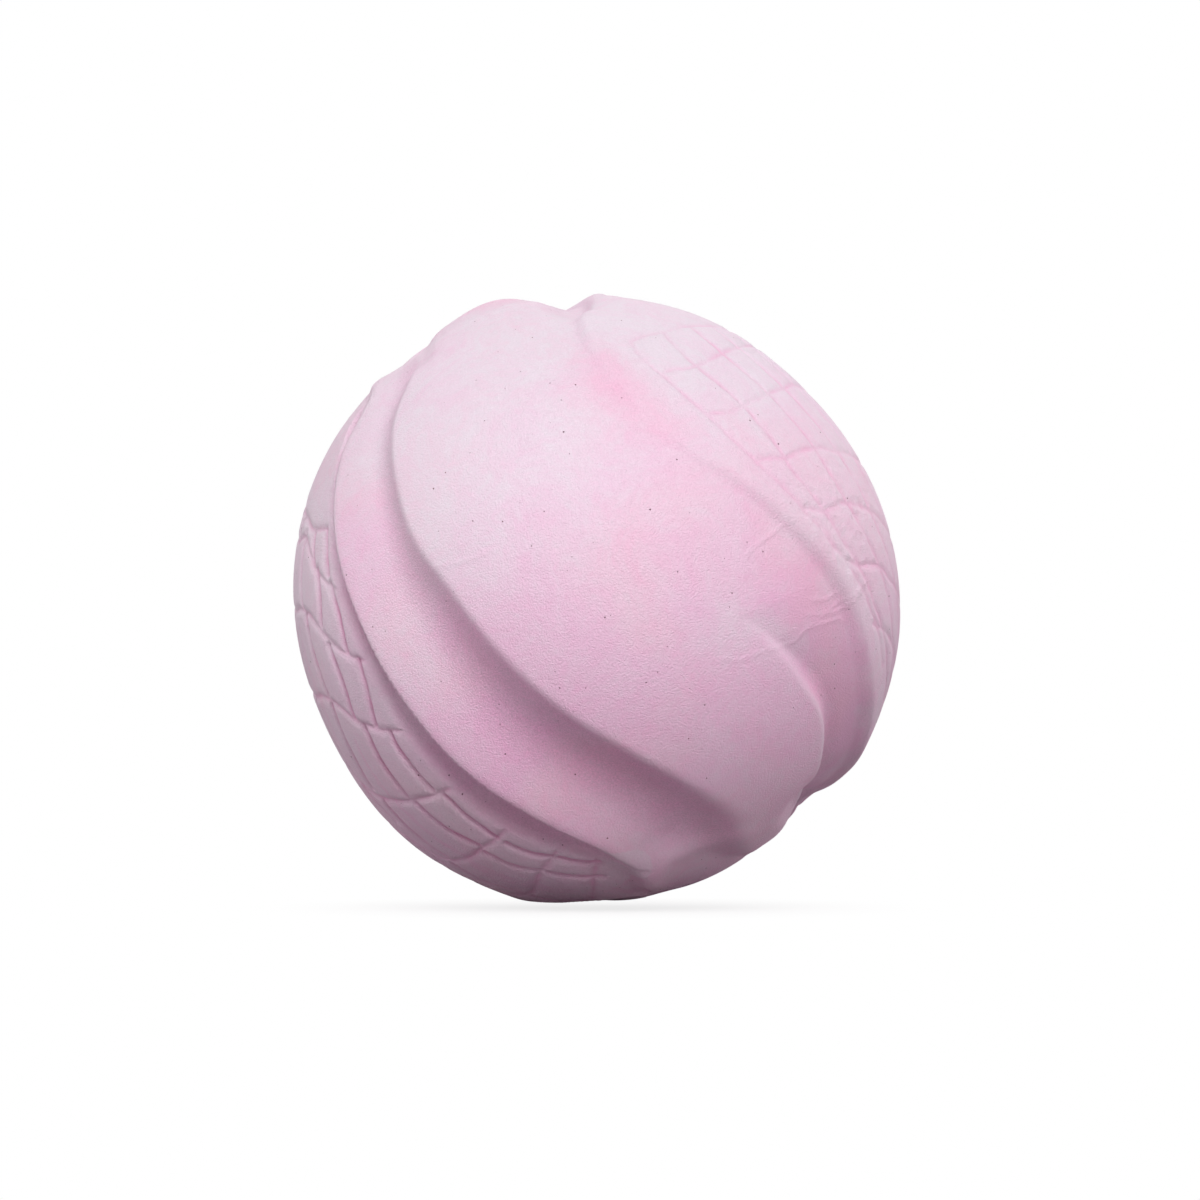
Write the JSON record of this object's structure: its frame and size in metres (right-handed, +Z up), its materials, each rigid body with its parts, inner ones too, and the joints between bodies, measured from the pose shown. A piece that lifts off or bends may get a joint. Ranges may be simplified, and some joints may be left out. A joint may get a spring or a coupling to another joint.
{
  "type": "dog toy ball",
  "caption": "Solid foam-rubber dog toy ball, matt pale pink and white, with twisted moulded lobes, to be thrown, chased and chewed.",
  "frame": {"origin": "centre of the ball", "axes": "+Z up with the ball standing as in the picture, the side in the picture facing -Y; the axis of the twisted lobes leans 22 degrees from +Z towards -X"},
  "size_m": [0.0647, 0.0656, 0.0657],
  "materials": {
    "sponge_rubber": "matt open sponge rubber",
    "pale_skin_rubber": "matt closed-cell foam rubber, lavender white marbled with pale pink",
    "pink_skin_rubber": "matt closed-cell foam rubber, pale pink marbled with lavender white"
  },
  "bodies": {
    "root": {"foam_core": "sponge_rubber", "upper_skin_half": "pale_skin_rubber", "lower_skin_half": "pink_skin_rubber"}
  },
  "joints": []
}
